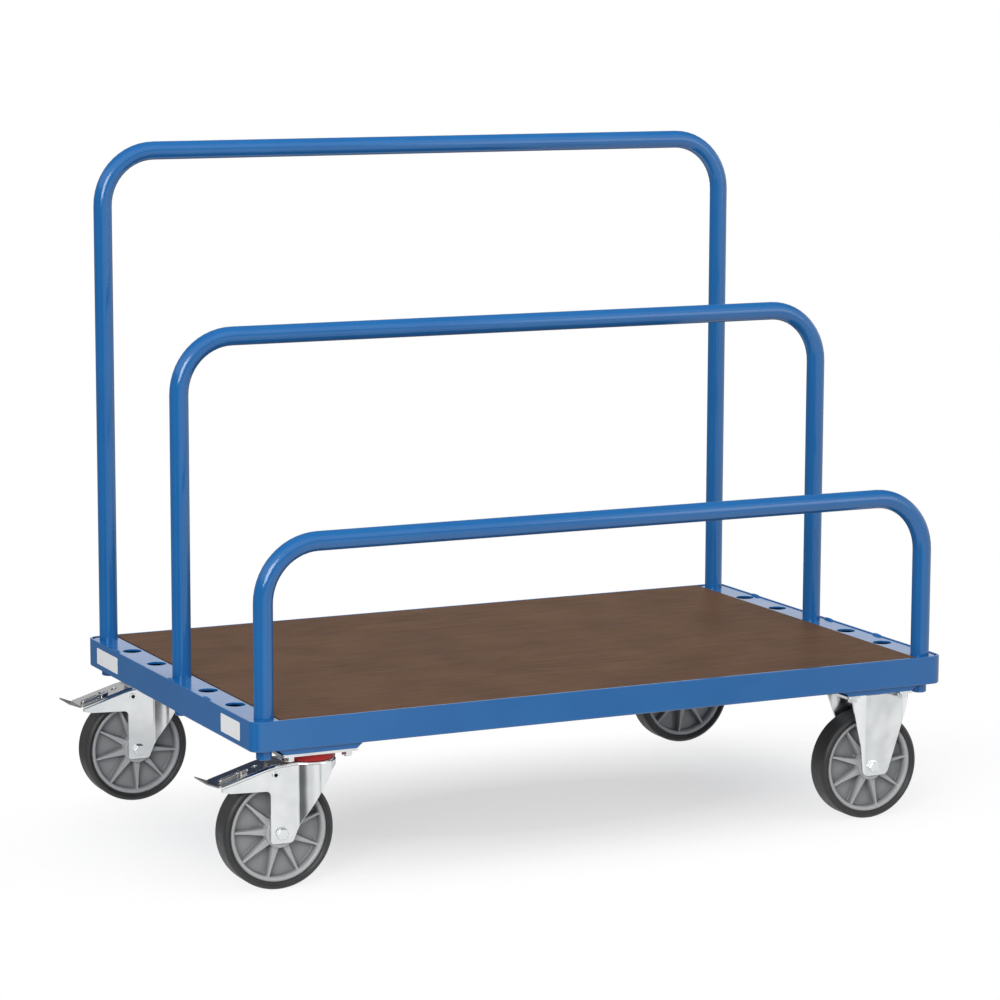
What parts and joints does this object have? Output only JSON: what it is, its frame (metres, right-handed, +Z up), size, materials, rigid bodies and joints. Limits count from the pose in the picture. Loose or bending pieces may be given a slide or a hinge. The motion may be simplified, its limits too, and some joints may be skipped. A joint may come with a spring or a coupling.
{
  "type": "panel cart",
  "caption": "Flat platform cart with plug-in tube hoops of stepped height that hold boards and panels upright, on braked swivel castors and fixed castors.",
  "frame": {"origin": "on the floor, in the middle of the whole footprint, pedals included", "axes": "+Z up, +X along the platform from the swivel castors to the fixed ones, front at -Y"},
  "size_m": [1.429, 0.83, 1.226],
  "materials": {
    "blue_paint": "satin powder coat",
    "deck_film": "film-faced plywood",
    "zinc": "bright zinc plate",
    "pedal_chrome": "polished zinc plate",
    "bearing_steel": "ground steel",
    "seal_red": "moulded",
    "tyre_rubber": "solid rubber",
    "wheel_grey": "moulded polypropylene",
    "label_film": "blank white film",
    "brake_rubber": "moulded"
  },
  "bodies": {
    "platform": {"rim_frame": "blue_paint", "left_socket_channel": "blue_paint", "right_socket_channel": "blue_paint", "deck_board": "deck_film", "deck_bearers": "blue_paint", "left_castor_bearer": "blue_paint", "right_castor_bearer": "blue_paint", "plate_bolts": "zinc", "plate_nuts": "zinc", "fixed_axle_bolts": "zinc", "fixed_axle_nuts": "zinc", "fixed_axle_sleeves": "zinc", "front_swivel_plate": "zinc", "front_king_pin": "zinc", "front_fixed_plate": "zinc", "front_fixed_fork": "zinc", "rear_swivel_plate": "zinc", "rear_king_pin": "zinc", "rear_fixed_plate": "zinc", "rear_fixed_fork": "zinc"},
    "front_swivel": {"front_swivel_fork": "zinc", "front_dust_seal": "seal_red", "front_swivel_bearing": "bearing_steel", "front_pedal_rivets": "zinc", "front_swivel_axle_bolt": "zinc", "front_swivel_axle_nut": "zinc", "front_swivel_axle_sleeve": "zinc"},
    "front_left_wheel": {"front_left_wheel_centre": "wheel_grey", "front_left_tyre": "tyre_rubber", "front_left_wheel_bearing": "bearing_steel"},
    "front_pedal": {"front_brake_pedal": "pedal_chrome", "front_brake_block": "brake_rubber"},
    "front_right_wheel": {"front_right_wheel_centre": "wheel_grey", "front_right_tyre": "tyre_rubber", "front_right_wheel_bearing": "bearing_steel"},
    "rear_swivel": {"rear_swivel_fork": "zinc", "rear_dust_seal": "seal_red", "rear_swivel_bearing": "bearing_steel", "rear_pedal_rivets": "zinc", "rear_swivel_axle_bolt": "zinc", "rear_swivel_axle_nut": "zinc", "rear_swivel_axle_sleeve": "zinc"},
    "rear_left_wheel": {"rear_left_wheel_centre": "wheel_grey", "rear_left_tyre": "tyre_rubber", "rear_left_wheel_bearing": "bearing_steel"},
    "rear_pedal": {"rear_brake_pedal": "pedal_chrome", "rear_brake_block": "brake_rubber"},
    "rear_right_wheel": {"rear_right_wheel_centre": "wheel_grey", "rear_right_tyre": "tyre_rubber", "rear_right_wheel_bearing": "bearing_steel"},
    "short_hoop": {"short_hoop": "blue_paint", "short_hoop_spigots": "blue_paint"},
    "middle_hoop": {"middle_hoop": "blue_paint", "middle_hoop_spigots": "blue_paint"},
    "tall_hoop": {"tall_hoop": "blue_paint", "tall_hoop_spigots": "blue_paint"}
  },
  "joints": [
    {"name": "front_swivel_turn", "type": "hinge", "parent": "platform", "child": "front_swivel", "pos_m": [-0.5185, -0.35, 0.2], "axis": [0, 0, 1], "continuous": true},
    {"name": "front_left_wheel_roll", "type": "hinge", "parent": "front_swivel", "child": "front_left_wheel", "pos_m": [-0.5815, -0.35, 0.1], "axis": [0, 1, 0], "continuous": true},
    {"name": "front_pedal_tip", "type": "hinge", "parent": "front_swivel", "child": "front_pedal", "pos_m": [-0.592, -0.35, 0.202], "axis": [0, -1, 0], "range_deg": [0, 9]},
    {"name": "front_right_wheel_roll", "type": "hinge", "parent": "platform", "child": "front_right_wheel", "pos_m": [0.5875, -0.35, 0.1], "axis": [0, 1, 0], "continuous": true},
    {"name": "rear_swivel_turn", "type": "hinge", "parent": "platform", "child": "rear_swivel", "pos_m": [-0.5185, 0.35, 0.2], "axis": [0, 0, 1], "continuous": true},
    {"name": "rear_left_wheel_roll", "type": "hinge", "parent": "rear_swivel", "child": "rear_left_wheel", "pos_m": [-0.5815, 0.35, 0.1], "axis": [0, 1, 0], "continuous": true},
    {"name": "rear_pedal_tip", "type": "hinge", "parent": "rear_swivel", "child": "rear_pedal", "pos_m": [-0.592, 0.35, 0.202], "axis": [0, -1, 0], "range_deg": [0, 9]},
    {"name": "rear_right_wheel_roll", "type": "hinge", "parent": "platform", "child": "rear_right_wheel", "pos_m": [0.5875, 0.35, 0.1], "axis": [0, 1, 0], "continuous": true},
    {"name": "short_hoop_lift", "type": "slide", "parent": "platform", "child": "short_hoop", "axis": [0, 0, 1], "range_m": [0, 0.12]},
    {"name": "middle_hoop_lift", "type": "slide", "parent": "platform", "child": "middle_hoop", "axis": [0, 0, 1], "range_m": [0, 0.12]},
    {"name": "tall_hoop_lift", "type": "slide", "parent": "platform", "child": "tall_hoop", "axis": [0, 0, 1], "range_m": [0, 0.12]}
  ]
}
